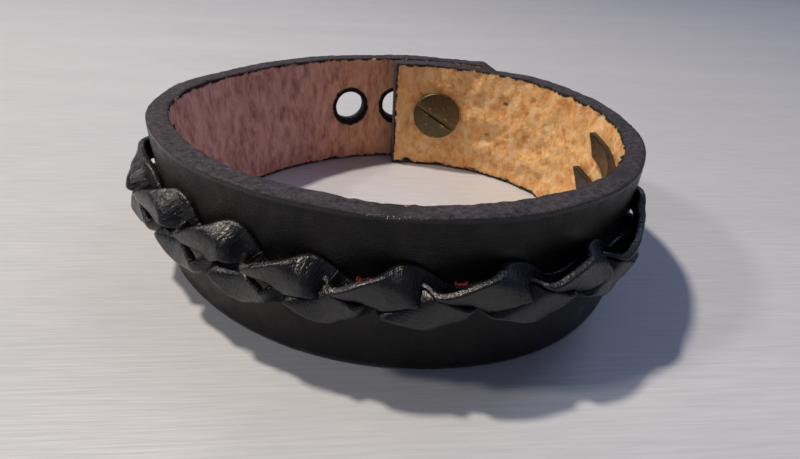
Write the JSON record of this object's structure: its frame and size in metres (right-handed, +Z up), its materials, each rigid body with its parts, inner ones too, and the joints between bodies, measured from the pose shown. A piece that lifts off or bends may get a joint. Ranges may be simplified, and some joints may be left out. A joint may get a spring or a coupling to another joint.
{
  "type": "braided leather cuff bracelet",
  "caption": "Black leather wrist cuff: a strap curled into an oval and fastened by a ball stud through punched holes, with a flat lace braid along the front.",
  "frame": {"origin": "middle of the whole cuff's box, on the surface it stands on", "axes": "+X along the oval's long way, towards the nose of the tail; +Y towards the stud at the back; +Z up across the strap's width"},
  "size_m": [0.0634, 0.067, 0.019],
  "materials": {
    "leather_black": "satin dyed grain outside, raw flesh side inside",
    "lace_black": "glossy dyed lace",
    "thread_red": "twisted thread",
    "antique_brass": "dark antique brass"
  },
  "bodies": {
    "cuff": {"strap_band": "leather_black", "lace_1": "lace_black", "lace_2": "lace_black", "lace_3": "lace_black", "tack_stitches": "thread_red", "ball_post": "antique_brass"},
    "tail": {"strap_tail": "leather_black"},
    "screw": {"stud_screw": "antique_brass"}
  },
  "joints": [
    {"name": "tail_swing", "type": "hinge", "parent": "cuff", "child": "tail", "pos_m": [-0.00965, 0.02643, 0.0095], "axis": [0, 0, 1], "range_deg": [0, 55], "stiffness_Nm_per_rad": 0.02},
    {"name": "screw_turn", "type": "hinge", "parent": "cuff", "child": "screw", "pos_m": [0.00352, 0.02408, 0.0102], "axis": [0, 1, 0], "continuous": true}
  ]
}
